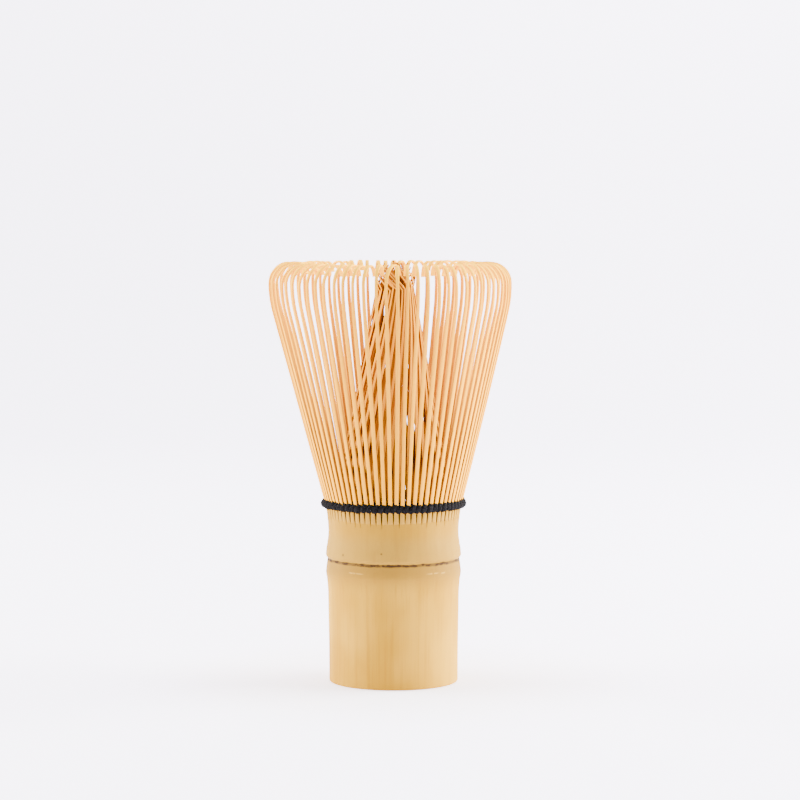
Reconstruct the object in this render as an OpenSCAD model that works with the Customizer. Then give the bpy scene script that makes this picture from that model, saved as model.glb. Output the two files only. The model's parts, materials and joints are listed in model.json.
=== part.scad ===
// Bamboo tea whisk (chasen), standing on the end of its handle.
// Origin: centre of the handle's flat end. +Z runs up the whisk's axis to the tips. Millimetres.
//
// The whisk is split from one length of bamboo and laced with one thread. Below the joint the culm is the
// handle, and above it the wall is split into alternate wide and narrow tines. The wide ones lean out and hook
// over at the tip, the narrow ones swirl in to a bundle, and the thread holds the two rings apart.

/* [Whisk] */
// Height from the handle's end to the top of the hooked tips
whisk_h = 110; // [104:1:118]
// Tines in each of the two rings
tine_count = 72; // [60, 72]
// Tines that bend together, and so share a node
tines_per_group = 4; // [4, 6]

/* [Culm] */
// Outside diameter of the handle
culm_d = 34; // [32:0.5:36]
// Thickness of the culm's wall
wall = 3.7; // [3.5:0.1:4]
// Height of the handle below the joint
grip_h = 28.9; // [26:0.1:30]
// Height of the joint band
joint_h = 3.7; // [3:0.1:4.5]
// How far the joint band stands out beyond the handle
joint_bulge = 0.5; // [0.3:0.05:0.8]

/* [Outer tines] */
// Lean of the outer tines away from the axis, in degrees
outer_lean = 14.4; // [12:0.1:16]
// Radius of the hook where the tine turns over
hook_r = 5.3; // [4.5:0.1:6]
// Radius of the curl behind the hook
curl_r = 3.4; // [2.8:0.1:4]
// Turn of the curl past the top of the hook, in degrees
curl_turn = 80; // [50:5:90]
// Width of a tine at the lacing
outer_root_w = 1.15; // [1:0.01:1.2]

/* [Inner tines] */
// Radius of the bundle at its neck
neck_r = 4.6; // [4.5:0.1:5.5]
// Turn of an inner tine round the axis from its root to the neck, in degrees
swirl = 50; // [0:5:60]
// Width of an inner tine at its root
inner_root_w = 0.62; // [0.5:0.01:0.7]

/* [Hidden] */
eps = 0.01;
culm_r = culm_d / 2;
bore_r = culm_r - wall;
groups = tine_count / tines_per_group;
pitch = 360 / tine_count;

// Handle
end_chamfer = 0.4;
flare_h = 6.9;                       // the handle widens to the joint over this height
flare_steps = 6;
scar_z = grip_h + joint_h;           // the sheath scar, a groove round the culm
scar_depth = 0.35;
lip_r = culm_r + joint_bulge - 0.05; // the lip over the scar
joint_bore_r = bore_r - 0.8;         // the hollow narrows at the joint
septum_z = grip_h + 0.9;
septum_t = 1.6;
septum_rise = 0.9;                   // the septum is dished by this much
septum_steps = 6;

// Head collar, from the scar to the lacing
ledge_z = scar_z + 10.7;             // the slits between the tines end here
waist_z = scar_z + 6.9;
shoulder_z = ledge_z + 1.7;
thin_h = 3.3;                        // the bore opens out over this height below the ledge
thin_r = 1.3;
slit_w = 0.42;                       // width of a slit at the lacing
collar_steps = 8;

// Hinge line of the outer tines, under the lacing: [radius, height]
lace_z = ledge_z + 3.6;
outer_hinge = [culm_r + 0.58, lace_z];
hinge_gap = 0.1;                     // clearance between a tine and its root

// Outer tine: [at the lacing, at the hook, at the tip]
outer_w = [outer_root_w, 0.84, 0.45];
outer_t = [0.7, 0.42, 0.25];
straighten_r = 30;                   // the tine turns upright on this radius before it hooks
hook_top_t = 0.34;                   // thickness where the tine is highest

// Inner tine: [at the root, at the neck, at the tip]
inner_w = [inner_root_w, 0.26, 0.18];
inner_t = [0.5, 0.24, 0.18];
inner_root = [culm_r - 1.2, ledge_z + hinge_gap];
neck_z = whisk_h - 8;
crown_h = 6.4;                       // the tips above the neck
crown_turn = 62;                     // their turn back round the axis, in degrees
inner_steps = 7;
crown_steps = 5;

// Lacing: the thread's rows outside and inside the outer tines
outer_row_h = 2.2;
outer_row_t = 0.6;
row_gap = 0.15;                      // clearance that lets the tines bend
inner_row_r = 0.58;
inner_row = outer_hinge + [-0.86, 1.1];
knot_r = 0.7;
knot_azimuth = 32;
knot_lift = 1.42;                    // the knot's centre above the inner row's

function two_digits(n) = n < 10 ? str("0", n) : str(n);
function outer_name(g) = str("outer_tines_", two_digits(g));
function inner_name(g) = str("inner_tines_", two_digits(g));

function unit(v) = v / norm(v);
function smooth(x) = x * x * (3 - 2 * x);
function mix(a, b, x) = a + (b - a) * x;
function reversed(list) = [for (i = [len(list) - 1 : -1 : 0]) list[i]];

// Heading along a curve in the [radius, height] plane, and its left-hand normal, which points to the axis
function along(heading) = [cos(heading), sin(heading)];
function left(heading) = [-sin(heading), cos(heading)];

// Points of an arc that leaves p on the given heading and turns left on radius rho
function arc_points(p, heading, rho, turn, steps) =
    let (centre = p + rho * left(heading))
    [for (i = [1 : steps]) centre - rho * left(heading + turn * i / steps)];

lean_heading = 90 - outer_lean;

// ---------------------------------------------------------------- culm

module grip_culm() {
    flare = [for (i = [0 : flare_steps]) let (x = i / flare_steps)
        [culm_r + (joint_bulge - 0.15) * smooth(x), grip_h - flare_h * (1 - x)]];
    color("burlywood")
    rotate_extrude($fn = 96)
    polygon(concat(
        [[bore_r, 0], [culm_r - end_chamfer, 0], [culm_r, end_chamfer]],
        flare,
        [[bore_r, grip_h]]
    ));
}

// The swollen band of the joint, between its lower ridge and the groove of the sheath scar
module joint_ring() {
    band = [for (i = [0 : flare_steps]) let (x = i / flare_steps)
        [culm_r + joint_bulge - scar_depth * smooth(abs(2 * x - 0.7) / 1.3), grip_h + joint_h * x]];
    color("tan")
    rotate_extrude($fn = 96)
    polygon(concat([[joint_bore_r, grip_h]], band, [[joint_bore_r, scar_z]]));
}

// The culm's own diaphragm, which closes the hollow at the joint
module joint_septum() {
    arch = [for (i = [0 : septum_steps]) let (x = i / septum_steps)
        [joint_bore_r * x, septum_z + septum_rise * (1 - x * x)]];
    color("wheat")
    rotate_extrude($fn = 96)
    polygon(concat(arch, [for (p = reversed(arch)) p + [0, septum_t]]));
}

// The collar's outline above the scar: a lip, a waist, and a shoulder where the tines begin to lean
function collar_r(z) = z < waist_z
    ? mix(culm_r, lip_r, smooth((waist_z - z) / (waist_z - scar_z)))
    : mix(culm_r, culm_r + 0.5, smooth(min(1, (z - waist_z) / (shoulder_z - waist_z))));

module collar_solid() {
    root = outer_hinge - along(lean_heading) * hinge_gap / 2;
    half = left(lean_heading) * outer_t[0] / 2;
    lip = [[lip_r - scar_depth, scar_z], [lip_r - 0.05, scar_z + 0.35]];
    outline = [for (i = [1 : collar_steps]) let (z = mix(scar_z + 0.35, shoulder_z, i / collar_steps))
        [collar_r(z), z]];
    rotate_extrude($fn = 96)
    polygon(concat(
        [[bore_r, scar_z]],
        lip,
        outline,
        [root - half, root + half, [culm_r - 0.4, ledge_z], [bore_r + thin_r, ledge_z]],
        [[bore_r, ledge_z - thin_h]]
    ));
}

// One slit between two tines: a tall V that points down
module slit() {
    top = lace_z + 1 - ledge_z;
    translate([culm_r - 0.7, 0, ledge_z])
    rotate([90, 0, 90])
    linear_extrude(2.5)
    polygon([[0, eps], [slit_w * top / (2 * (top - 1)), top], [-slit_w * top / (2 * (top - 1)), top]]);
}

module head_collar() {
    color("burlywood")
    difference() {
        collar_solid();
        for (i = [0 : tine_count - 1]) rotate(pitch * i) slit();
    }
}

// ---------------------------------------------------------------- tines

// A tine: a rectangular section swept along a path of 3-D points. across is the direction of the section's
// width at each point, and w and t are its width and thickness there.
module strip(path, across, w, t) {
    n = len(path);
    rings = [for (i = [0 : n - 1])
        let (
            ahead = unit(path[min(i + 1, n - 1)] - path[max(i - 1, 0)]),
            side = unit(across[i] - ahead * (ahead * across[i])),
            face = cross(ahead, side)
        )
        for (corner = [[1, 1], [-1, 1], [-1, -1], [1, -1]])
            path[i] + side * corner[0] * w[i] / 2 + face * corner[1] * t[i] / 2];
    walls = [for (i = [0 : n - 2]) for (k = [0 : 3])
        let (a = 4 * i + k, b = 4 * i + (k + 1) % 4)
        each [[a, a + 4, b], [b, a + 4, b + 4]]];
    ends = [[0, 1, 2, 3], [for (k = [3 : -1 : 0]) 4 * (n - 1) + k]];
    polyhedron(rings, concat(walls, ends));
}

// The outer tine's centreline in [radius, height]: straight, upright, over the top, and curled back
straight_steps = 2;
upright_steps = 2;
hook_steps = 6;
curl_steps = 5;
hook_start = [
    outer_hinge[0] + straighten_r * (1 - cos(outer_lean))
        + tan(outer_lean) * (whisk_h - hook_top_t / 2 - hook_r - lace_z - straighten_r * sin(outer_lean)),
    whisk_h - hook_top_t / 2 - hook_r
];
bend_start = hook_start - straighten_r * [1 - cos(outer_lean), sin(outer_lean)];
outer_start = outer_hinge + along(lean_heading) * hinge_gap / 2;
outer_path = concat(
    [for (i = [0 : straight_steps]) mix(outer_start, bend_start, i / straight_steps)],
    arc_points(bend_start, lean_heading, straighten_r, outer_lean, upright_steps),
    arc_points(hook_start, 90, hook_r, 90, hook_steps),
    arc_points(hook_start + [-hook_r, hook_r], 180, curl_r, curl_turn, curl_steps)
);
stem_steps = straight_steps + upright_steps;

// A size along a tine of n steps, of which the first stem steps are the stem: size is [root, stem's end, tip]
function sized(size, i, stem, n) = i < stem
    ? mix(size[0], size[1], i / stem)
    : mix(size[1], size[2], (i - stem) / (n - stem));

module outer_tine() {
    n = len(outer_path) - 1;
    strip(
        [for (p = outer_path) [p[0], 0, p[1]]],
        [for (p = outer_path) [0, 1, 0]],
        [for (i = [0 : n]) sized(outer_w, i, stem_steps, n)],
        [for (i = [0 : n]) sized(outer_t, i, stem_steps, n)]
    );
}

// The inner tine's centreline as [radius, azimuth, height]: in to the neck, then back round the crown
inner_path = concat(
    [for (i = [0 : inner_steps]) let (x = i / inner_steps)
        [mix(inner_root[0], neck_r, pow(x, 1.2)), swirl * pow(x, 2.5), mix(inner_root[1], neck_z, x)]],
    [for (i = [1 : crown_steps]) let (x = i / crown_steps)
        [neck_r + 0.5 * x, swirl - crown_turn * x, neck_z + crown_h * x]]
);

module inner_tine() {
    n = len(inner_path) - 1;
    strip(
        [for (p = inner_path) [p[0] * cos(p[1]), p[0] * sin(p[1]), p[2]]],
        [for (p = inner_path) [-sin(p[1]), cos(p[1]), 0]],
        [for (i = [0 : n]) sized(inner_w, i, inner_steps, n)],
        [for (i = [0 : n]) sized(inner_t, i, inner_steps, n)]
    );
}

// Group g holds tines_per_group neighbours. Its middle lies at azimuth (g - 1) * 360 / groups, where its
// hinge line touches the ring. The inner ring is turned by half a pitch, so that an inner tine's root lies
// behind the slit between two outer tines.
function tine_azimuth(g, k) = ((g - 1) * tines_per_group + k - (tines_per_group - 1) / 2) * pitch;

module outer_tines(g) {
    color("navajowhite")
    for (k = [0 : tines_per_group - 1]) rotate(tine_azimuth(g, k)) outer_tine();
}

module inner_tines(g) {
    color("sandybrown")
    for (k = [0 : tines_per_group - 1]) rotate(tine_azimuth(g, k) + pitch / 2) inner_tine();
}

// ---------------------------------------------------------------- lacing

// The thread's row outside the outer tines, which follows their lean
module lacing_outer_row() {
    middle = outer_hinge - left(lean_heading) * (outer_t[0] / 2 + row_gap + outer_row_t / 2);
    rise = along(lean_heading) * (outer_row_h - outer_row_t) / 2;
    steps = 6;
    cap = [for (i = [0 : steps]) outer_row_t / 2 * along(lean_heading - 90 + 180 * i / steps)];
    foot = [for (p = cap) -p];
    color("dimgray")
    rotate_extrude($fn = 96)
    polygon(concat([for (p = cap) middle + rise + p], [for (p = foot) middle - rise + p]));
}

// The thread's row between the outer and the inner tines
module lacing_inner_row() {
    color("dimgray")
    rotate_extrude($fn = 96)
    translate(inner_row)
    circle(inner_row_r, $fn = 24);
}

// The knot that ends the thread, on the inside where it doesn't show
module lacing_knot() {
    color("dimgray")
    rotate(knot_azimuth)
    translate([inner_row[0] + 0.16, 0, inner_row[1] + knot_lift])
    sphere(knot_r, $fn = 24);
}

grip_culm();
joint_ring();
joint_septum();
head_collar();
lacing_outer_row();
lacing_inner_row();
lacing_knot();
for (g = [1 : groups]) outer_tines(g);
for (g = [1 : groups]) inner_tines(g);
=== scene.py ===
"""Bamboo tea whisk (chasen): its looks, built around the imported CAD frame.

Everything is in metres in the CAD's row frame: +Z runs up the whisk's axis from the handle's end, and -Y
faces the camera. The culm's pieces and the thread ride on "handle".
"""

import json
import math
import random

import bpy
import numpy as np
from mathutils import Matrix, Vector


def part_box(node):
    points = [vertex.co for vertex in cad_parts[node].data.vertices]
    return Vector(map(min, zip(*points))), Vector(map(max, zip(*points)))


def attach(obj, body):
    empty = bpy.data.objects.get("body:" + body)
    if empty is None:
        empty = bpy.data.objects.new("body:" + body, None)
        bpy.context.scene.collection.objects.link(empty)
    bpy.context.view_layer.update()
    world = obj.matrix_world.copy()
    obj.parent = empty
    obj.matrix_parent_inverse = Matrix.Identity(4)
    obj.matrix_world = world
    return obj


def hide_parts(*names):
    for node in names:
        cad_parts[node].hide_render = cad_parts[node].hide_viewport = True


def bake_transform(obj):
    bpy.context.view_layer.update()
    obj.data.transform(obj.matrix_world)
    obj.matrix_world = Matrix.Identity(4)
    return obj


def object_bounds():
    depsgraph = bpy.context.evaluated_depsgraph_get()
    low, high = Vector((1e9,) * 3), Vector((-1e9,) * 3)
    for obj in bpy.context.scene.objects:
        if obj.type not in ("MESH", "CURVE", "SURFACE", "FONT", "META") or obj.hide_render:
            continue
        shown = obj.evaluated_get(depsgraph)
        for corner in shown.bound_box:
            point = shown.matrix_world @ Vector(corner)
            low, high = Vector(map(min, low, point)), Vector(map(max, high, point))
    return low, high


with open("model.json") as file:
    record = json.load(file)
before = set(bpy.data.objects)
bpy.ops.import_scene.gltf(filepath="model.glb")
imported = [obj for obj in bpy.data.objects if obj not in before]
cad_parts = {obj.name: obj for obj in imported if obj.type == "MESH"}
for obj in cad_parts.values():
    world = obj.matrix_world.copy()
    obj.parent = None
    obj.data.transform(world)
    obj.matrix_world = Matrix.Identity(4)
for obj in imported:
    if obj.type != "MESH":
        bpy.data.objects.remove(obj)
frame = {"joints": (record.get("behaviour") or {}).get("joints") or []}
cad_low, cad_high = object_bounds()

MM = 0.001
TAU = 2 * math.pi
SEED = 72

# ------------------------------------------------------------------ sizes from the frame

joints = {joint["name"]: joint for joint in frame["joints"]}
GROUPS = sum(name.startswith("outer_flex_") for name in joints)
TINES_PER_GROUP = 4
TINES = GROUPS * TINES_PER_GROUP
PITCH = TAU / TINES

HINGE = Vector(joints["outer_flex_01"]["pos_m"])        # the outer tines' hinge line, under the lacing
INNER_ROOT = Vector(joints["inner_bloom_01"]["pos_m"])  # where the inner tines leave the collar
INNER_ROOT_R = math.hypot(INNER_ROOT.x, INNER_ROOT.y)
TOP_Z = cad_high.z
RIM_R = cad_high.x
GRIP_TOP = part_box("grip_culm")[1].z
SCAR_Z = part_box("joint_ring")[1].z
LEDGE_Z = INNER_ROOT.z                                  # the slits between the outer tines end here
SEPTUM_LOW, SEPTUM_HIGH = (corner.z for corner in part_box("joint_septum"))
BORE_R = 13.3 * MM
JOINT_BORE_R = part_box("joint_septum")[1].x              # the hollow narrows at the joint

# ------------------------------------------------------------------ small maths


def smooth(x):
    x = np.clip(x, 0, 1)
    return x * x * (3 - 2 * x)


def mix(a, b, x):
    return a + (b - a) * x


def polar(radius, azimuth, z):
    return np.stack([radius * np.cos(azimuth), radius * np.sin(azimuth), z + 0 * azimuth], axis=-1)


def unit(v):
    return v / np.linalg.norm(v, axis=-1, keepdims=True)


def share_along(points):
    """How far along a line each of its points is, from 0 to 1."""
    along = np.concatenate([[0], np.cumsum(np.linalg.norm(np.diff(points, axis=0), axis=1))])
    return along / along[-1]


def square_to(ahead, side):
    """The side direction turned square to ahead, and the normal to both."""
    side = unit(side - ahead * np.sum(side * ahead, axis=1, keepdims=True))
    return side, np.cross(side, ahead)


# ------------------------------------------------------------------ how the head has settled

# The outer head of this whisk has settled to one side, more at its flanks than at its middle, and the inner
# bundle to the other
HEAD_LEAN = -1.1 * MM
HEAD_STAY = 0.6 * MM            # how much less the middle has moved
BUNDLE_LEAN = 0.5 * MM


def rise_of(z):
    """0 at the outer tines' hinge line and 1 at the rim."""
    return np.clip((z - HINGE.z) / (TOP_Z - HINGE.z), 0, 1)


def settle(points):
    """Moves an outer tine's points sideways, as the head has."""
    middle = np.clip(1 - (points[..., 0] / RIM_R) ** 2, 0, 1)
    points[..., 0] += (HEAD_LEAN + HEAD_STAY * middle) * rise_of(points[..., 2])
    return points


# ------------------------------------------------------------------ meshes


def piece(name, verts, faces, material, body=None, replaces=(), crease=None):
    """A mesh object with smooth shading, which rides on body and stands for the CAD nodes in replaces."""
    mesh = bpy.data.meshes.new(name)
    mesh.from_pydata([tuple(map(float, v)) for v in verts], [], faces)
    mesh.validate()
    mesh.shade_smooth()
    if crease is not None:
        mesh.set_sharp_from_angle(angle=math.radians(crease))
    mesh.materials.append(material)
    obj = bpy.data.objects.new(name, mesh)
    bpy.context.scene.collection.objects.link(obj)
    if body is not None:
        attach(obj, body)
    if replaces:
        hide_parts(*replaces)
    return obj


def set_point_value(obj, name, values):
    """One number for each vertex, which the material reads as an attribute."""
    layer = obj.data.attributes.new(name, "FLOAT", "POINT")
    layer.data.foreach_set("value", np.asarray(values, np.float32))


def grid_faces(rows, columns, closed_rows=False):
    """Quads between rows of points. Columns always close; closed_rows joins the last row to the first."""
    return [
        (i * columns + k, i * columns + (k + 1) % columns,
         (i + 1) % rows * columns + (k + 1) % columns, (i + 1) % rows * columns + k)
        for i in range(rows if closed_rows else rows - 1)
        for k in range(columns)
    ]


def sweep(centres, sides, normals, sections):
    """A closed tube. At each centre, the section's points (u, v) lie along the side and the normal there."""
    rings = (centres[:, None] + sections[..., 0, None] * sides[:, None]
             + sections[..., 1, None] * normals[:, None])
    rows, columns = rings.shape[:2]
    faces = grid_faces(rows, columns)
    faces.append(tuple(reversed(range(columns))))
    faces.append(tuple((rows - 1) * columns + k for k in range(columns)))
    return rings.reshape(-1, 3), faces


PLIES = 3
PLY_DEPTH = 0.10                # how far a ply stands out, as a share of the yarn's radius
YARN_COLUMNS = 12


def loop_of_yarn(centres, radii, turns_of_ply):
    """A closed loop of yarn round the axis. Its section has a lobe for each ply, and turns along the loop."""
    rows = len(centres)
    ahead = unit(np.roll(centres, -1, axis=0) - np.roll(centres, 1, axis=0))
    up = np.array([0.0, 0.0, 1.0])
    side = unit(np.cross(ahead, up))
    normal = np.cross(side, ahead)
    angle = TAU * np.arange(YARN_COLUMNS) / YARN_COLUMNS
    twist = TAU * turns_of_ply * np.arange(rows) / rows
    lobes = 1 + PLY_DEPTH * np.cos(PLIES * (angle[None] + twist[:, None]))
    reach = radii[:, None] * lobes
    rings = (centres[:, None] + (reach * np.cos(angle))[..., None] * side[:, None]
             + (reach * np.sin(angle))[..., None] * normal[:, None])
    return rings.reshape(-1, 3), grid_faces(rows, YARN_COLUMNS, closed_rows=True)


EDGE_ROUNDING = 0.42            # of a tine's edges, as a share of its half thickness or half width
FACE_CROWN = 0.10               # how far its faces bulge, as a share of its half thickness


def rounded_sections(left, right, thickness):
    """Rounded rectangles, one for each value given: left and right are the half widths on either side."""
    half = np.asarray(thickness) / 2
    radius = EDGE_ROUNDING * np.minimum(half, np.minimum(left, right))
    points = []
    for sign_u, sign_v, start in ((1, 1, 0), (-1, 1, 90), (-1, -1, 180), (1, -1, 270)):
        reach = right if sign_u > 0 else left
        for step in (0, 45, 90):
            angle = math.radians(start + step)
            u = sign_u * (reach - radius) + radius * math.cos(angle)
            v = sign_v * (half - radius) + radius * math.sin(angle)
            points.append(np.stack([u, v], axis=-1))
        if sign_u == sign_v:
            points.append(np.stack([0 * half, sign_v * half * (1 + FACE_CROWN)], axis=-1))
    return np.stack(points, axis=1)


# ------------------------------------------------------------------ culm

# Height above the handle's end and outside radius, in millimetres, between which the outline runs smoothly
CULM_OUTLINE = (
    (0.0, 16.85), (9.0, 16.9), (19.0, 17.05), (25.0, 17.2), (27.4, 17.42), (29.0, 17.66),
    (30.6, 17.5), (32.0, 17.32), (32.6, 17.22), (33.2, 17.60), (34.4, 17.62), (36.6, 17.3),
    (39.4, 17.0), (42.0, 17.12), (44.4, 17.42), (46.9, 17.8),
)
SKIN_R = BORE_R + 1.5 * MM      # only what lies further out has the grown culm's unevenness
CULM_COLUMNS = 256

FOOT_EDGE = 0.35 * MM           # the rounded edge of the handle's end, outside
BORE_EDGE = (0.3 * MM, 0.5 * MM)    # the chamfer of its hollow: across, and up
BORE_RING_Z = 15 * MM           # a ring of points halfway up the hollow

SEPTUM_DOME = 0.9 * MM
SEPTUM_RIPPLE = 0.06 * MM
SEPTUM_FILLET = 0.6 * MM        # where it meets the wall above, over the outer fifth of its radius
SEPTUM_STEPS = 16
SEPTUM_COLUMNS = 96
AXIS_R = 1e-6                   # stands for a radius of nothing, so that no ring of points is a single point


def culm_radius(z):
    """Outside radius of the culm at a height, by a smooth curve through CULM_OUTLINE."""
    heights = np.array([h for h, _ in CULM_OUTLINE]) * MM
    radii = np.array([r for _, r in CULM_OUTLINE]) * MM
    slopes = np.gradient(radii, heights)
    z = np.clip(z, heights[0], heights[-1])
    i = np.clip(np.searchsorted(heights, z) - 1, 0, len(heights) - 2)
    span = heights[i + 1] - heights[i]
    t = (z - heights[i]) / span
    return ((2 * t**3 - 3 * t**2 + 1) * radii[i] + (t**3 - 2 * t**2 + t) * span * slopes[i]
            + (3 * t**2 - 2 * t**3) * radii[i + 1] + (t**3 - t**2) * span * slopes[i + 1])


def culm_wobble(azimuth, z):
    """A grown culm isn't quite round, and its wall is faintly fluted."""
    return MM * (0.07 * np.cos(2 * azimuth + 0.6) + 0.04 * np.cos(3 * azimuth + 2.1)
                 + 0.014 * np.cos(11 * azimuth + 40 * z) + 0.008 * np.cos(29 * azimuth + 1.3))


def revolve(profile, columns=CULM_COLUMNS):
    """A closed outline of (radius, z) points turned round the axis, with the culm's unevenness outside."""
    azimuth = TAU * np.arange(columns) / columns
    rows = []
    for radius, z in profile:
        uneven = culm_wobble(azimuth, z) if radius > SKIN_R else 0
        rows.append(polar(radius + uneven, azimuth, z))
    return np.concatenate(rows), grid_faces(len(profile), columns, closed_rows=True)


def culm_span(low, high, count):
    return [(float(culm_radius(z)), float(z)) for z in np.linspace(low, high, count)]


def make_grip(material):
    foot = float(culm_radius(0.0))
    edge_across, edge_up = BORE_EDGE
    outline = [(foot - FOOT_EDGE, 0.0), (foot - FOOT_EDGE * 0.3, FOOT_EDGE * 0.3)]
    outline += culm_span(FOOT_EDGE, GRIP_TOP, 40)
    outline += [(JOINT_BORE_R + 2 * MM, GRIP_TOP), (BORE_R, GRIP_TOP), (BORE_R, BORE_RING_Z)]
    outline += [(BORE_R, edge_up), (BORE_R + edge_across, 0.0)]
    verts, faces = revolve(outline)
    return piece("grip_culm_skin", verts, faces, material, "handle", ["grip_culm"], crease=40)


def make_joint(material):
    outline = culm_span(GRIP_TOP, SCAR_Z, 14)
    outline += [(JOINT_BORE_R, SCAR_Z), (JOINT_BORE_R, GRIP_TOP)]
    verts, faces = revolve(outline)
    return piece("joint_ring_skin", verts, faces, material, "handle", ["joint_ring"], crease=40)


def make_septum(material):
    """The diaphragm is domed, with a fillet where it meets the wall above."""
    low, high = [], []
    for i in range(SEPTUM_STEPS + 1):
        x = i / SEPTUM_STEPS
        radius = max(JOINT_BORE_R * x, AXIS_R)
        lift = SEPTUM_DOME * (1 - x * x) + SEPTUM_RIPPLE * math.cos(9 * x)
        fillet = SEPTUM_FILLET * max(0.0, (x - 0.8) / 0.2) ** 2
        low.append((radius, SEPTUM_LOW + lift))
        high.append((radius, SEPTUM_HIGH - SEPTUM_DOME + lift + fillet))
    verts, faces = revolve(low + high[::-1], SEPTUM_COLUMNS)
    return piece("joint_septum_disc", verts, faces, material, "handle", ["joint_septum"], crease=50)


# ------------------------------------------------------------------ collar and slits

SLIT_WIDTH = 0.52 * MM          # between two tines where the lacing crosses them
SLIT_DEPTH = 0.6 * MM           # of a slit's tail in the collar's skin
SLIT_REACH = (0.1, 1.7)         # how far below the ledge the tails run, in millimetres
HAIRLINE = 0.004 * MM           # half width of the columns below a tail, which keeps them apart
SCAR_LIP = 0.06 * MM            # the collar's skin stands back by this much over the lowest LIP_H
LIP_H = 0.3 * MM

# The collar's inside, as (radius, z) from the ledge down, where the bore opens out towards the tines
COLLAR_INSIDE = (
    (16.6 * MM, LEDGE_Z), (14.8 * MM, LEDGE_Z), (14.5 * MM, LEDGE_Z - 0.2 * MM),
    (BORE_R, LEDGE_Z - 3.3 * MM), (BORE_R, SCAR_Z),
)
# The collar's columns of points round each slit: before it, across it, and after it
BEFORE_SLIT = (-0.5, -0.28, -0.12)      # in pitches from its middle
ACROSS_SLIT = (-1.0, -0.5, 0.5, 1.0)    # in half widths
AFTER_SLIT = (0.25,)                    # in pitches
COLLAR_COLUMNS = len(BEFORE_SLIT) + len(ACROSS_SLIT) + len(AFTER_SLIT)

rng = random.Random(SEED)
slit_foot = [LEDGE_Z - rng.uniform(*SLIT_REACH) * MM for _ in range(TINES)]
slit_width = [SLIT_WIDTH * rng.uniform(0.85, 1.2) for _ in range(TINES)]


def slit_half(index, z):
    """Half the width at a height of the slit before tine index. Slit i lies at azimuth i times PITCH."""
    i = index % TINES
    return slit_width[i] / 2 * np.clip((z - slit_foot[i]) / (HINGE.z - slit_foot[i]), 0, 1.2) ** 0.75


def make_collar(material):
    """The collar, with the tails of the slits cut into its top edge."""
    heights = np.concatenate([
        np.linspace(SCAR_Z, LEDGE_Z - 2.0 * MM, 34),
        np.linspace(LEDGE_Z - 1.9 * MM, LEDGE_Z, 14),
    ])
    azimuth = np.zeros((len(heights), TINES * COLLAR_COLUMNS))
    depth = np.zeros_like(azimuth)
    for i in range(TINES):
        centre = PITCH * i
        half = np.maximum(slit_half(i, heights), HAIRLINE) / culm_radius(heights)
        open_here = np.clip(slit_half(i, heights) / slit_half(i, LEDGE_Z), 0, 1)
        places = [centre + x * PITCH for x in BEFORE_SLIT]
        places += [centre + x * half for x in ACROSS_SLIT]
        places += [centre + x * PITCH for x in AFTER_SLIT]
        first = COLLAR_COLUMNS * i
        for k, place in enumerate(places):
            azimuth[:, first + k] = place
        for k, x in enumerate(ACROSS_SLIT, start=first + len(BEFORE_SLIT)):
            if abs(x) < 1:
                depth[:, k] = SLIT_DEPTH * open_here ** 0.5
    lip = np.where(heights < SCAR_Z + LIP_H, SCAR_LIP, 0.0)
    radius = culm_radius(heights)[:, None] + culm_wobble(azimuth, heights[:, None]) - depth - lip[:, None]
    rows = [polar(radius[i], azimuth[i], z) for i, z in enumerate(heights)]
    rows += [polar(r, azimuth[-1], z) for r, z in COLLAR_INSIDE]
    verts = np.concatenate(rows)
    faces = grid_faces(len(rows), TINES * COLLAR_COLUMNS, closed_rows=True)
    obj = piece("head_collar_skin", verts, faces, material, "handle", ["head_collar"], crease=35)
    cut = np.zeros(len(verts))
    cut[:depth.size] = (depth / SLIT_DEPTH).ravel()
    set_point_value(obj, "slit_cut", cut)
    return obj


# ------------------------------------------------------------------ outer tines

LEAN = math.radians(14.4)       # of the tines away from the axis
UPRIGHT_R = 30 * MM             # radius on which a tine turns upright below its hook
HOOK_R = 5.3 * MM               # of the bend from upright to the rim
CURL_R = 2.9 * MM               # of the tighter bend from the rim down to the cut end
TIP_DROP = 2.9 * MM             # of a tine's cut end below the rim
ROOT_T = 0.72 * MM              # thickness in the collar's wall
ROOT_DEPTHS = (3.9, 3.4, 2.7, 2.0, 1.3, 0.6)    # of the root's points below the hinge, in millimetres
ROOT_TUCK = 0.25 * MM           # how far the lowest of them is sunk into the collar
JOIN_H = 6 * MM                 # over this height the root's width passes into the free tine's

# At shares of the stem's length, from the root to where the tine stands furthest out
STEM_THICKNESS = ((0, 0.3, 0.7, 1), (ROOT_T, 0.86 * MM, 0.78 * MM, 0.60 * MM))
STEM_WIDTH = ((0.3, 0.7, 1), (1.08 * MM, 1.10 * MM, 0.76 * MM))
TIP_W, TIP_T = 1.10 * MM, 0.42 * MM

# How the tines differ: the least and the most, as shares
HOOK_RANGE = (0.95, 1.04)
CURL_RANGE = (0.95, 1.2)
DROP_RANGE = (0.86, 1.06)
WIDTH_RANGE = (0.93, 1.07)
# and for the rest the mean, where it isn't zero, and the standard deviation, in degrees or millimetres
LEAN_SPREAD = 0.15
TOP_SPREAD = 0.10
TIP_BOW = 0.16                  # sideways, growing up to the rim
MIDDLE_BOW = 0.10               # sideways, halfway up
HOOK_TURN, HOOK_TURN_SPREAD = 9, 5      # of the hook round its own tine
ROLL_SPREAD = 4


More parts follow.
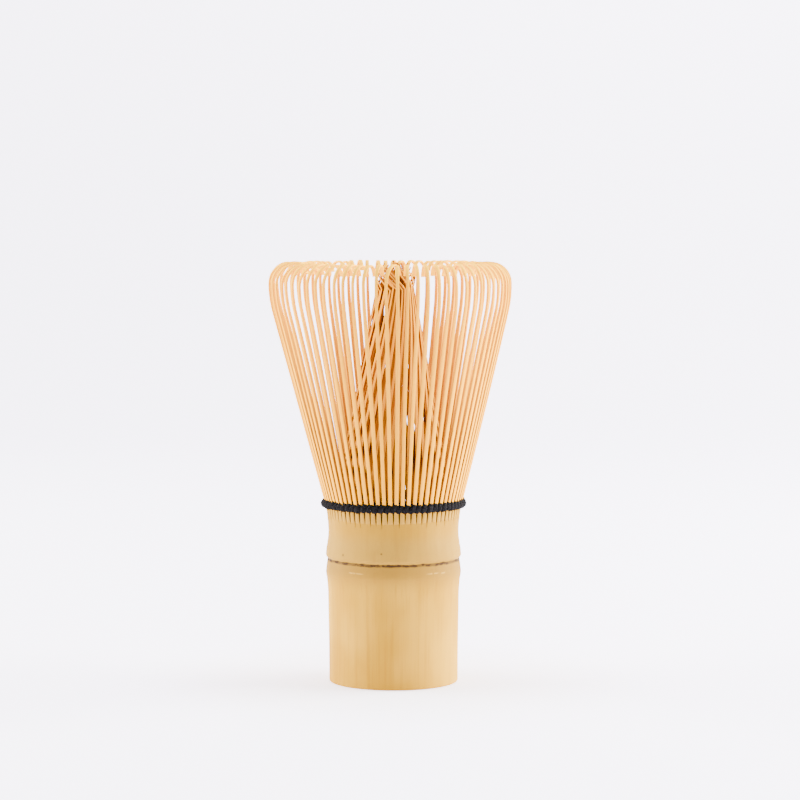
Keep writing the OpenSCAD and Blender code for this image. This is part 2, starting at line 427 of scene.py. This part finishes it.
def outer_line(dice):
    """A tine's centreline in (radius, z), from the collar to the tip."""
    hook_r = HOOK_R * dice.uniform(*HOOK_RANGE)
    curl_r = CURL_R * dice.uniform(*CURL_RANGE)
    curl_turn = math.acos(1 - TIP_DROP * dice.uniform(*DROP_RANGE) / curl_r)
    lean = LEAN + math.radians(dice.gauss(0, LEAN_SPREAD))
    top = TOP_Z - ROOT_T * 0.3 + dice.gauss(0, TOP_SPREAD) * MM
    root = [(float(culm_radius(z)) - ROOT_T / 2, z) for z in HINGE.z - np.array(ROOT_DEPTHS) * MM]
    root[0] = (root[0][0] - ROOT_TUCK, root[0][1])
    straight_top = top - hook_r - UPRIGHT_R * math.sin(lean)
    line = [(HINGE.x + (z - HINGE.z) * math.tan(lean), z)
            for z in np.linspace(HINGE.z + 0.2 * MM, straight_top, 14)]
    radius, z = line[-1]
    centre_r = radius - UPRIGHT_R * math.cos(lean)
    line += [(centre_r + UPRIGHT_R * math.cos(a), z + UPRIGHT_R * (math.sin(lean) - math.sin(a)))
             for a in np.linspace(lean, 0, 6)[1:]]
    radius, z = line[-1]
    line += [(radius - hook_r * (1 - math.cos(a)), z + hook_r * math.sin(a))
             for a in np.linspace(0, math.pi / 2, 11)[1:]]
    radius, z = line[-1]
    line += [(radius - curl_r * math.sin(a), z - curl_r * (1 - math.cos(a)))
             for a in np.linspace(0, curl_turn, 9)[1:]]
    return np.array(root + line)


def outer_tine(index):
    """One outer tine: verts, faces, and for the material its shares, its skin and its tone."""
    dice = random.Random(SEED * 1000 + index)
    line = outer_line(dice)
    count = len(line)
    azimuth = PITCH * (index + 0.5)
    z = line[:, 1]
    rise = rise_of(z)
    bow = dice.gauss(0, TIP_BOW) * MM * rise**1.6
    bow = bow + dice.gauss(0, MIDDLE_BOW) * MM * np.sin(math.pi * rise)
    turn = math.radians(dice.gauss(HOOK_TURN, HOOK_TURN_SPREAD))
    stem_top = np.argmax(line[:, 0])
    inward = np.clip(line[stem_top, 0] - line[:, 0], 0, None) * (np.arange(count) > stem_top)
    sideways = bow + inward * math.sin(turn)
    radius = line[:, 0] + inward * (1 - math.cos(turn))
    out = np.array([math.cos(azimuth), math.sin(azimuth), 0])
    around = np.array([-math.sin(azimuth), math.cos(azimuth), 0])
    centres = radius[:, None] * out + sideways[:, None] * around
    centres[:, 2] = z
    centres = settle(centres)
    ahead = unit(np.gradient(centres, axis=0))
    roll = np.radians(dice.gauss(0, ROLL_SPREAD)) * rise
    side, normal = square_to(ahead, unit(around + np.sin(roll)[:, None] * out))
    share = share_along(centres)
    stem_share = share[stem_top]
    up_stem = np.clip(share / stem_share, 0, 1)
    to_tip = np.clip((share - stem_share) / (1 - stem_share), 0, 1)
    width = dice.uniform(*WIDTH_RANGE)
    free = mix(np.interp(up_stem, *STEM_WIDTH) * width, TIP_W, to_tip) / 2
    root_half = PITCH * culm_radius(np.minimum(z, HINGE.z)) / 2
    join = smooth((z - HINGE.z) / JOIN_H)
    left = mix(root_half - slit_half(index + 1, z), free, join)
    right = mix(root_half - slit_half(index, z), free, join)
    thick = mix(np.interp(up_stem, *STEM_THICKNESS), TIP_T, to_tip)
    sections = rounded_sections(right, left, thick)
    verts, faces = sweep(centres, side, normal, sections)
    return verts, faces, np.repeat(share, sections.shape[1]), skin_of(sections), dice.random()


def skin_of(sections):
    """1 on the face that was the culm's skin, and 0 on the cut flanks and the inside face."""
    v = sections[..., 1]
    return (v > 0.7 * v.max(axis=1, keepdims=True)).astype(float).ravel()


def join_tines(parts):
    """The tines' verts, faces, shares, skins and tones, each end to end."""
    verts, faces, shares, skins, tones = [], [], [], [], []
    for part_verts, part_faces, share, skin, tone in parts:
        start = sum(len(v) for v in verts)
        verts.append(part_verts)
        faces += [tuple(start + i for i in face) for face in part_faces]
        shares.append(share)
        skins.append(skin)
        tones.append(np.full(len(part_verts), tone))
    verts, shares, skins, tones = (np.concatenate(rows) for rows in (verts, shares, skins, tones))
    return verts, faces, shares, skins, tones


ROOT_TOP = 0.4 * MM             # above the hinge line, where a tine starts to take on the collar's colour
ROOT_FADE = 1.8 * MM            # and the height down to where it has it


def make_group(kind, group, tine, material):
    """Four neighbouring tines as one piece."""
    first = (group - 1) * TINES_PER_GROUP - TINES_PER_GROUP // 2
    verts, faces, share, skin, tone = join_tines([tine(first + k) for k in range(TINES_PER_GROUP)])
    name = f"{kind}_tines_{group:02d}"
    obj = piece(f"{name}_split", verts, faces, material, replaces=[name], crease=55)
    set_point_value(obj, "tine_share", share)
    set_point_value(obj, "tine_skin", skin)
    set_point_value(obj, "tine_tone_and_shade", tone)
    set_point_value(obj, "tine_root", smooth((HINGE.z + ROOT_TOP - verts[:, 2]) / ROOT_FADE))
    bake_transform(obj)
    return obj


# ------------------------------------------------------------------ inner tines

NECK_R = 4.6 * MM               # of the bundle below its crown
NECK_Z = TOP_Z - 6.6 * MM
SWIRL = math.radians(38)        # a tine's turn round the axis from its root to the neck
CROWN_H = 5.8 * MM              # of the tips above the neck
CROWN_TURN = math.radians(62)   # and their turn back
DEEPER = 1.2 * MM               # how far in every other tine lies
DEEP_END, DEEPEST = 1.35, 0.455     # its depth follows x (DEEP_END - x), which is DEEPEST at the most
INNER_THICKNESS = ((0, 0.88, 1), (0.5, 0.3, 0.2))   # at shares of the length, in millimetres

# Each of these is for a shallow tine and then for a deep one
CROWN_FLARE = (0.5 * MM, -1.5 * MM)     # how far the tip goes out from the neck
INNER_WIDTH_SHARES = (0, 0.25, 0.5, 0.88, 1)
INNER_WIDTHS = ((1.1, 0.90, 0.74, 0.42, 0.28), (1.1, 1.16, 1.18, 0.70, 0.50))   # at those shares, in mm
# the deep tines' high tones paint them darker: partly the inner layers' deeper colour, partly painted shade
# inside the bundle
INNER_TONES_AND_SHADE = ((0.0, 0.3), (0.75, 1.0))

# How the inner tines differ, as for the outer ones
TURN_RANGE = (0.75, 1.15)
HEIGHT_RANGE = (0.8, 1.05)
INNER_WIDTH_RANGE = (0.92, 1.08)
NECK_R_SPREAD, NECK_Z_SPREAD = 0.15, 0.5
SWIRL_SPREAD, SWAY_SPREAD = 1.6, 0.7    # of the turn at the neck, and halfway up
BELLY_SPREAD = 0.18                     # of the radius halfway up

INNER_POINTS, CROWN_POINTS = 24, 9


def inner_tine(index):
    """One inner tine. Every other one lies deeper in the bundle, and its end folds in over the middle."""
    dice = random.Random(SEED * 2000 + index)
    deep = index % 2
    x = np.linspace(0, 1, INNER_POINTS)
    neck_r = NECK_R + dice.gauss(0, NECK_R_SPREAD) * MM
    neck_z = NECK_Z + dice.gauss(0, NECK_Z_SPREAD) * MM
    wander = math.radians(dice.gauss(0, SWIRL_SPREAD))
    azimuth = PITCH * (index + 1) + (SWIRL + wander) * x**2.2
    azimuth = azimuth + math.radians(dice.gauss(0, SWAY_SPREAD)) * np.sin(math.pi * x)
    belly = dice.gauss(0, BELLY_SPREAD) * MM * np.sin(math.pi * x)
    radius = mix(INNER_ROOT_R, neck_r, x**1.05) + belly
    radius = radius - deep * DEEPER * x * (DEEP_END - x) / DEEPEST
    z = mix(INNER_ROOT.z - 0.4 * MM, neck_z, x)
    y = np.linspace(0, 1, CROWN_POINTS)[1:]
    turn = CROWN_TURN * dice.uniform(*TURN_RANGE)
    height = CROWN_H * dice.uniform(*HEIGHT_RANGE)
    azimuth = np.concatenate([azimuth, azimuth[-1] - turn * y])
    radius = np.concatenate([radius, radius[-1] + CROWN_FLARE[deep] * y])
    z = np.concatenate([z, neck_z + height * y])
    centres = polar(radius, azimuth, z)
    centres[:, 0] += BUNDLE_LEAN * rise_of(z)
    ahead = unit(np.gradient(centres, axis=0))
    side, normal = square_to(ahead, polar(np.ones_like(azimuth), azimuth + math.pi / 2, 0))
    share = share_along(centres)
    width = np.interp(share, INNER_WIDTH_SHARES, INNER_WIDTHS[deep]) * MM * dice.uniform(*INNER_WIDTH_RANGE)
    thick = np.interp(share, *INNER_THICKNESS) * MM
    sections = rounded_sections(width / 2, width / 2, thick)
    verts, faces = sweep(centres, side, normal, sections)
    # a deep tine's high tone paints it darker, partly as painted shade inside the bundle
    tone = dice.uniform(*INNER_TONES_AND_SHADE[deep])
    return verts, faces, np.repeat(share, sections.shape[1]), skin_of(sections), tone


# ------------------------------------------------------------------ lacing

# A row's sizes: its strands' radius, how far they swing in and out of the ring of tines and up and down, how
# much higher they run inside it than outside, and how far they ride up in the gap between two tines
OUTER_ROW = {"thread_r": 0.94 * MM, "swing_out": 0.62 * MM, "swing_up": 0.34 * MM,
             "lift": 0.45 * MM, "tooth": 0.55 * MM}
INNER_ROW = {"thread_r": 0.36 * MM, "swing_out": 0.26 * MM, "swing_up": 0.2 * MM,
             "lift": 0.0, "tooth": 0.0}
OUTER_ROW_R = HINGE.x - 0.10 * MM
OUTER_ROW_Z = HINGE.z + 0.08 * MM
SAMPLES_PER_TINE = 16
ROW_PLY_TURNS = 150

KNOT_SPREAD = 0.27              # of the trefoil, as a share of the knot's radius
KNOT_THREAD = 0.34              # its thread's radius, as a share of the knot's
KNOT_POINTS = 160
KNOT_PLY_TURNS = 14


def strand(phase, ring_r, ring_z, thread_r, swing_out, swing_up, lift, tooth):
    """One strand of a twined row: outside one tine, through the gap, inside the next, and back."""
    count = TINES * SAMPLES_PER_TINE
    azimuth = TAU * np.arange(count) / count
    angle = azimuth * TINES / 2 + phase
    inside = (1 - np.cos(angle)) / 2
    radius = ring_r + swing_out * np.cos(angle)
    z = ring_z + swing_up * np.sin(angle) + tooth * np.abs(np.sin(angle)) ** 5 + lift * inside
    wander = 0.05 * MM * np.sin(7 * azimuth + phase) + 0.04 * MM * np.sin(17 * azimuth + 2)
    centres = polar(radius, azimuth, z + wander)
    uneven = (1 + 0.05 * np.sin(11 * azimuth + 3 * phase) + 0.05 * np.sin(29 * azimuth + phase)
              + 0.04 * np.sin(53 * azimuth))
    pinch = 0.86 + 0.14 * np.abs(np.cos(angle))
    return centres, thread_r * uneven * pinch


def make_row(name, node, material, ring_r, ring_z, row):
    """A row of lacing: two strands, half a turn apart."""
    verts, faces = [], []
    for phase in (0, math.pi):
        centres, radii = strand(phase, ring_r, ring_z, **row)
        strand_verts, strand_faces = loop_of_yarn(centres, radii, ROW_PLY_TURNS)
        start = sum(len(v) for v in verts)
        verts.append(strand_verts)
        faces += [tuple(start + i for i in face) for face in strand_faces]
    return piece(name, np.concatenate(verts), faces, material, "handle", [node])


def make_knot(material):
    """A small overhand knot, as a trefoil. It is on the inside, where the thread's ends don't show."""
    low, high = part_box("lacing_knot")
    centre = np.array((low + high) / 2)
    size = (high.z - low.z) / 2
    t = np.linspace(0, TAU, KNOT_POINTS, endpoint=False)
    trefoil = [np.sin(t) + 2 * np.sin(2 * t), np.cos(t) - 2 * np.cos(2 * t), -np.sin(3 * t)]
    centres = centre + np.stack(trefoil, axis=-1) * size * KNOT_SPREAD
    verts, faces = loop_of_yarn(centres, np.full(KNOT_POINTS, size * KNOT_THREAD), KNOT_PLY_TURNS)
    return piece("lacing_knot_thread", verts, faces, material, "handle", ["lacing_knot"])


# ------------------------------------------------------------------ materials

BAMBOO = (0.37, 0.186, 0.007)
BAMBOO_PALE = (0.45, 0.240, 0.016)
BAMBOO_DARK = (0.24, 0.100, 0.003)
# the collar's colours, partly painted shade on its concave waist
COLLAR_UPPER, COLLAR_LOWER = (0.25, 0.124, 0.006), (0.24, 0.136, 0.022)
COLLAR_TOP = (0.34, 0.178, 0.020)
BAND_BROWN = (0.205, 0.107, 0.014)
# painted highlight on the joint's crest
CREST_HIGHLIGHT = (0.55, 0.32, 0.06)
SCAR_BROWN = (0.040, 0.021, 0.009)
# painted shade in the slits between the tines
SLIT_SHADE = (0.11, 0.046, 0.010)
THREAD_BLACK, THREAD_FLUFF_AND_SHEEN = (0.0006, 0.0006, 0.0006), (0.022, 0.020, 0.021)
PITH_PALE, PITH_DARK = (0.50, 0.29, 0.05), (0.34, 0.18, 0.025)

# Place and radius of each speck on the collar, in millimetres
SPECKS = (
    ((-12.9, -11.7, 34.6), 0.5), ((-3.1, -17.1, 35.5), 0.33),
    ((9.0, 14.5, 36.3), 0.4), ((16.2, 5.0, 34.9), 0.4),
)

# The tines' colours on the skin, on the cut faces and at the root of those, and at the tip. tip_reach is how
# far the tips take on their colour, times the tine's tone with tip_by_tone. tone_reach is how far the tine of
# deepest tone goes from pale to deep, and cut_fade how far the cut faces go to pale higher up.
# the outer tines' tip colour is partly the hooks' yellower colour, partly painted light falling on them from
# above
OUTER_LOOK = {
    "pale": (0.80, 0.345, 0.003), "deep": (0.54, 0.222, 0.003), "shade": (0.24, 0.078, 0.003),
    "tip": (1.0, 0.52, 0.003), "tip_reach": 0.8, "tip_by_tone": False, "tone_reach": 0.55, "cut_fade": 0.55,
}
# the inner tines' deep colour is partly the inner layers' own, partly painted shade inside the bundle; their
# dark tip is painted shade on the deep tines' ends, which fold in over the middle
INNER_LOOK = {
    "pale": (0.80, 0.325, 0.003), "deep": (0.30, 0.082, 0.003), "shade": (0.19, 0.048, 0.003),
    "tip": (0.20, 0.052, 0.003), "tip_reach": 0.65, "tip_by_tone": True, "tone_reach": 0.9, "cut_fade": 0.0,
}


class Nodes:
    """Adds nodes to a material and links them in one call each."""

    def __init__(self, name):
        self.material = bpy.data.materials.new(name)
        self.material.use_nodes = True
        self.tree = self.material.node_tree
        self.shader = self.tree.nodes["Principled BSDF"]

    def add(self, kind, values=None, **settings):
        node = self.tree.nodes.new(kind)
        for key, value in settings.items():
            setattr(node, key, value)
        for key, value in (values or {}).items():
            if isinstance(value, bpy.types.NodeSocket):
                self.tree.links.new(value, node.inputs[key])
            else:
                node.inputs[key].default_value = value
        return node

    def math(self, operation, a, b=0.0):
        return self.add("ShaderNodeMath", {0: a, 1: b}, operation=operation).outputs[0]

    def ramp(self, value, low, high, to_low=0.0, to_high=1.0, kind="SMOOTHSTEP"):
        values = {"Value": value, "From Min": low, "From Max": high, "To Min": to_low, "To Max": to_high}
        return self.add("ShaderNodeMapRange", values, interpolation_type=kind).outputs[0]

    def near(self, value, middle, inner, outer):
        """1 within inner of the middle, and 0 beyond outer."""
        apart = self.math("ABSOLUTE", self.math("SUBTRACT", value, middle))
        return self.ramp(apart, inner, outer, 1.0, 0.0)

    def noise(self, vector, scale, detail=2.0, roughness=0.5):
        values = {"Vector": vector, "Scale": scale, "Detail": detail, "Roughness": roughness}
        return self.add("ShaderNodeTexNoise", values).outputs["Fac"]

    def along_culm(self, vector, squeeze):
        """The point with its height squeezed, which draws a noise out along the fibres."""
        return self.add("ShaderNodeMapping", {"Vector": vector, "Scale": (1, 1, squeeze)}).outputs[0]

    def attribute(self, name):
        return self.add("ShaderNodeAttribute", attribute_name=name).outputs["Fac"]

    def point(self):
        return self.add("ShaderNodeTexCoord").outputs["Object"]

    def colour(self, factor, a, b):
        node = self.add("ShaderNodeMix", data_type="RGBA", blend_type="MIX")
        for key, value in ((0, factor), (6, a), (7, b)):
            if isinstance(value, bpy.types.NodeSocket):
                self.tree.links.new(value, node.inputs[key])
            elif isinstance(value, (int, float)):
                node.inputs[key].default_value = value
            else:
                node.inputs[key].default_value = (*value, 1.0)
        return node.outputs[2]

    def surface(self, base, roughness, height=None, bump=0.1, distance=0.0001, **constants):
        self.tree.links.new(base, self.shader.inputs["Base Color"])
        if isinstance(roughness, bpy.types.NodeSocket):
            self.tree.links.new(roughness, self.shader.inputs["Roughness"])
        else:
            self.shader.inputs["Roughness"].default_value = roughness
        for key, value in constants.items():
            self.shader.inputs[key.replace("_", " ")].default_value = value
        if height is not None:
            node = self.add("ShaderNodeBump", {"Height": height, "Strength": bump, "Distance": distance})
            self.tree.links.new(node.outputs[0], self.shader.inputs["Normal"])
        return self.material


def bamboo_skin(n, point):
    """Tint of bamboo's skin, fine fibres over broad soft mottling, and the two noises of its relief."""
    fibres = n.noise(n.along_culm(point, 0.02), 2600, 3, 0.6)
    bundles = n.noise(n.along_culm(point, 0.035), 700, 2, 0.5)
    clouds = n.noise(n.along_culm(point, 0.6), 90, 2, 0.45)
    tint = n.colour(n.ramp(clouds, 0.35, 0.68), BAMBOO, BAMBOO_PALE)
    streak = n.math("MULTIPLY", n.ramp(bundles, 0.45, 0.75), 0.30)
    tint = n.colour(streak, tint, BAMBOO_DARK)
    fine = n.math("MULTIPLY", n.ramp(fibres, 0.50, 0.78), 0.28)
    tint = n.colour(fine, tint, BAMBOO_DARK)
    return tint, fibres, bundles


def culm_material():
    n = Nodes("bamboo_culm")
    point = n.point()
    x, _, z = n.add("ShaderNodeSeparateXYZ", {0: point}).outputs
    tint, fibres, bundles = bamboo_skin(n, point)
    # the collar is a little deeper in colour, and more so towards the tines: partly its own colour, partly
    # painted shade on its concave waist
    collar = n.colour(n.ramp(z, SCAR_Z + 4 * MM, SCAR_Z + 9 * MM), COLLAR_LOWER, COLLAR_UPPER)
    tint = n.colour(n.ramp(z, SCAR_Z - 0.5 * MM, SCAR_Z + 0.5 * MM, 0.0, 0.62), tint, collar)
    # a darker band under the scar
    rising = n.ramp(z, SCAR_Z - 8.5 * MM, SCAR_Z - 1.2 * MM)
    band = n.math("MULTIPLY", rising, n.ramp(z, SCAR_Z, SCAR_Z + 0.1 * MM, 1, 0))
    tint = n.colour(n.math("MULTIPLY", band, 0.85), tint, BAND_BROWN)
    # painted highlight along the joint's crest, a pale broken line in two patches
    waver = n.math("MULTIPLY", n.math("SUBTRACT", n.noise(point, 420, 3, 0.6), 0.5), 0.7 * MM)
    wavering_z = n.math("ADD", z, waver)
    highlight_line = n.near(wavering_z, SCAR_Z - 2.5 * MM, 0.05 * MM, 0.26 * MM)
    left = n.near(x, -9.8 * MM, 1.2 * MM, 2.4 * MM)
    right = n.near(x, 11.5 * MM, 1.8 * MM, 3.4 * MM)
    highlight_patches = n.math("MULTIPLY", n.math("MAXIMUM", left, right), n.ramp(n.noise(point, 900, 2), 0.38, 0.55))
    tint = n.colour(n.math("MULTIPLY", n.math("MULTIPLY", highlight_line, highlight_patches), 0.45), tint, CREST_HIGHLIGHT)
    # the sheath scar, a thin brown line, fainter in places
    line = n.near(wavering_z, SCAR_Z - 0.18 * MM, 0.20 * MM, 0.52 * MM)
    broken = n.ramp(n.noise(point, 700, 2), 0.40, 0.56, 0.62, 1.0)
    tint = n.colour(n.math("MULTIPLY", line, broken), tint, SCAR_BROWN)
    for place, size in SPECKS:
        values = {0: point, 1: Vector(place) * MM}
        apart = n.add("ShaderNodeVectorMath", values, operation="DISTANCE").outputs["Value"]
        tint = n.colour(n.ramp(apart, size * 0.3 * MM, size * MM, 0.8, 0.0), tint, SCAR_BROWN)
    # painted shade in the slits' tails, darkest where they are cut deepest
    tint = n.colour(n.ramp(n.attribute("slit_cut"), 0.1, 0.8), tint, SLIT_SHADE)
    height = n.math("ADD", n.math("MULTIPLY", fibres, 0.5), bundles)
    rough = n.ramp(fibres, 0.3, 0.7, 0.42, 0.56)
    return n.surface(tint, rough, height, 0.20, 0.00012, Specular_IOR_Level=0.01)


def tine_material(name, pale, deep, shade, tip, tip_reach, tip_by_tone, tone_reach, cut_fade):
    """Split bamboo: pale on the culm's skin and deeper on the cut faces, with painted shade on the cut faces
    towards the root.
    """
    n = Nodes(name)
    tone = n.attribute("tine_tone_and_shade")
    share = n.attribute("tine_share")
    skin = n.attribute("tine_skin")
    root = n.attribute("tine_root")
    fibres = n.noise(n.along_culm(n.point(), 0.03), 3200, 3, 0.6)
    reach = n.math("MULTIPLY", tone, tip_reach) if tip_by_tone else tip_reach
    # tip_here paints the tips: painted light from above on the outer hooks, painted shade on the inner tips
    tip_here = n.ramp(share, 0.80, 0.92, 0.0, reach)
    face = n.colour(n.ramp(tone, 0, 1, 0.0, tone_reach, "LINEAR"), pale, deep)
    face = n.colour(n.math("MULTIPLY", n.ramp(fibres, 0.48, 0.75), 0.35), face, deep)
    face = n.colour(tip_here, face, tip)
    face = n.colour(root, face, COLLAR_TOP)
    # painted shade between the tines: low down the cut faces take the shade colour
    cut = n.colour(n.ramp(share, 0.15, 0.55), shade, deep)
    cut = n.colour(n.ramp(share, 0.50, 0.80, 0.0, cut_fade), cut, pale)
    cut = n.colour(tip_here, cut, tip)
    # painted shade on the cut faces at the root, where they face each other across a slit
    cut = n.colour(root, cut, SLIT_SHADE)
    tint = n.colour(n.ramp(skin, 0.35, 0.9), cut, face)
    rough = n.ramp(fibres, 0.3, 0.7, 0.45, 0.6)
    return n.surface(tint, rough, fibres, 0.15, 0.00008, Specular_IOR_Level=0.0)


def thread_material():
    n = Nodes("black_cotton")
    point = n.point()
    fuzz = n.noise(point, 5200, 3, 0.7)
    fluff = n.noise(point, 2200, 2, 0.6)
    # pale fluff in the fuzz, partly painted sheen where light catches the fibres
    tint = n.colour(n.ramp(fuzz, 0.42, 0.72), THREAD_BLACK, THREAD_FLUFF_AND_SHEEN)
    height = n.math("ADD", fuzz, fluff)
    return n.surface(tint, 0.95, height, 0.6, 0.00015, Specular_IOR_Level=0.04)


def septum_material():
    n = Nodes("bamboo_diaphragm")
    pith = n.noise(n.point(), 500, 4, 0.6)
    tint = n.colour(n.ramp(pith, 0.3, 0.7), PITH_PALE, PITH_DARK)
    return n.surface(tint, 0.7, pith, 0.4, 0.0003)


# ------------------------------------------------------------------ camera, light and floor

VIEW_WIDTH = 0.2095             # what the camera sees across at the whisk's axis
SENSOR_WIDTH = 36
CAMERA_AT = Vector((0.0016, -0.74, 0.127))
AIM = Vector((0.0017, 0, 0.0740))

# A tent of white cloth round the whisk: each lit side's name, place, size and power
TENT = (
    ("tent_left", (-0.85, 0.12, 0.32), (0.8, 0.6), 50),
    ("tent_right", (0.85, 0.12, 0.32), (0.8, 0.6), 74),
    ("tent_top", (0.0, 0.0, 1.2), (1.0, 1.0), 6),
)
TENT_MIDDLE = Vector((0, 0, 0.06))
TENT_WHITE = (0.94, 0.94, 1.0, 1)

# The paper runs back under the whisk and turns up behind it
PAPER_FRONT, PAPER_BACK, PAPER_TOP = -2.0, 1.2, 2.5
PAPER_BEND = 0.5
PAPER_HALF = 2.4                # half its width
PAPER_STEPS = 24
PAPER_SHEET = ((0.72, 0.72, 0.75), (0.74, 0.74, 0.77))      # the two colours of its grain
PAPER_GLOW = ((0.98, 0.88, 1.12), (0.99, 0.89, 1.12))       # and of the light through it
# painted shadow: the glow's colour round the whisk's foot
FOOT_SHADOW_GLOW = (1.04, 0.84, 0.84)                              # which is warmer by the whisk's foot


def link(obj):
    bpy.context.scene.collection.objects.link(obj)
    return obj


def make_camera():
    data = bpy.data.cameras.new("camera")
    data.sensor_width = SENSOR_WIDTH
    data.lens = SENSOR_WIDTH * (AIM - CAMERA_AT).length / VIEW_WIDTH
    camera = link(bpy.data.objects.new("camera", data))
    camera.location = CAMERA_AT
    camera.rotation_euler = (AIM - CAMERA_AT).to_track_quat("-Z", "Y").to_euler()
    bpy.context.scene.camera = camera


def area_light(name, place, size, power):
    data = bpy.data.lights.new(name, "AREA")
    data.shape = "RECTANGLE"
    data.size, data.size_y = size
    data.energy = power
    light = link(bpy.data.objects.new(name, data))
    light.location = place
    light.rotation_euler = (TENT_MIDDLE - Vector(place)).to_track_quat("-Z", "Y").to_euler()


def make_studio():
    world = bpy.data.worlds.new("studio")
    world.use_nodes = True
    background = world.node_tree.nodes["Background"]
    background.inputs["Color"].default_value = TENT_WHITE
    background.inputs["Strength"].default_value = 1.0
    bpy.context.scene.world = world
    for name, place, size, power in TENT:
        area_light(name, place, size, power)


def make_paper():
    foot = PAPER_BACK - PAPER_BEND
    profile = [(PAPER_FRONT, 0.0), (foot, 0.0)]
    profile += [(foot + PAPER_BEND * math.sin(a), PAPER_BEND * (1 - math.cos(a)))
                for a in np.linspace(0, math.pi / 2, PAPER_STEPS)[1:]]
    profile += [(PAPER_BACK, PAPER_TOP)]
    verts = [(x, y, z) for y, z in profile for x in (-PAPER_HALF, PAPER_HALF)]
    faces = [(2 * i, 2 * i + 1, 2 * i + 3, 2 * i + 2) for i in range(len(profile) - 1)]
    mesh = bpy.data.meshes.new("sweep")
    mesh.from_pydata(verts, [], faces)
    mesh.shade_smooth()
    mesh.materials.append(paper_material())
    link(bpy.data.objects.new("paper_sweep", mesh))


def paper_material():
    """White paper whose glow is painted light, as of paper lit from behind, stronger on the right and weaker
    towards the camera.
    """
    n = Nodes("paper_sweep")
    point = n.point()
    x, y, z = n.add("ShaderNodeSeparateXYZ", {0: point}).outputs
    grain = n.ramp(n.noise(point, 3, 2), 0.3, 0.7)
    n.surface(n.colour(grain, *PAPER_SHEET), 0.9)
    glow = n.math("MULTIPLY", n.ramp(x, -0.35, 0.35, 2.0, 2.8), n.ramp(y, -0.45, -0.16, 0.35, 1.0))
    glow = n.math("MULTIPLY", glow, n.ramp(z, 0.0, 0.5, 1.0, 1.6))
    # painted shadow round the whisk's foot: within 75 mm of the axis the glow falls by up to 35% and turns
    # warmer
    apart = n.add("ShaderNodeVectorMath", {0: point}, operation="LENGTH").outputs["Value"]
    painted_foot_shadow = n.ramp(apart, 0.018, 0.075, 1.0, 0.0)
    glow = n.math("MULTIPLY", glow, n.math("SUBTRACT", 1.0, n.math("MULTIPLY", painted_foot_shadow, 0.35)))
    n.tree.links.new(glow, n.shader.inputs["Emission Strength"])
    white = n.colour(grain, *PAPER_GLOW)
    n.tree.links.new(n.colour(painted_foot_shadow, white, FOOT_SHADOW_GLOW), n.shader.inputs["Emission Color"])
    return n.material


# ------------------------------------------------------------------ build

make_camera()
make_studio()
make_paper()

culm = culm_material()
outer_skin = tine_material("bamboo_outer_tines", **OUTER_LOOK)
inner_skin = tine_material("bamboo_inner_tines", **INNER_LOOK)
thread = thread_material()

make_grip(culm)
make_joint(culm)
make_septum(septum_material())
make_collar(culm)

for group in range(1, GROUPS + 1):
    make_group("outer", group, outer_tine, outer_skin)
    make_group("inner", group, inner_tine, inner_skin)

make_row("lacing_outer_twine", "lacing_outer_row", thread, OUTER_ROW_R, OUTER_ROW_Z, OUTER_ROW)
row_low, row_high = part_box("lacing_inner_row")
row_z = (row_low.z + row_high.z) / 2
row_r = row_high.x - (row_high.z - row_z)
make_row("lacing_inner_twine", "lacing_inner_row", thread, row_r, row_z, INNER_ROW)
make_knot(thread)
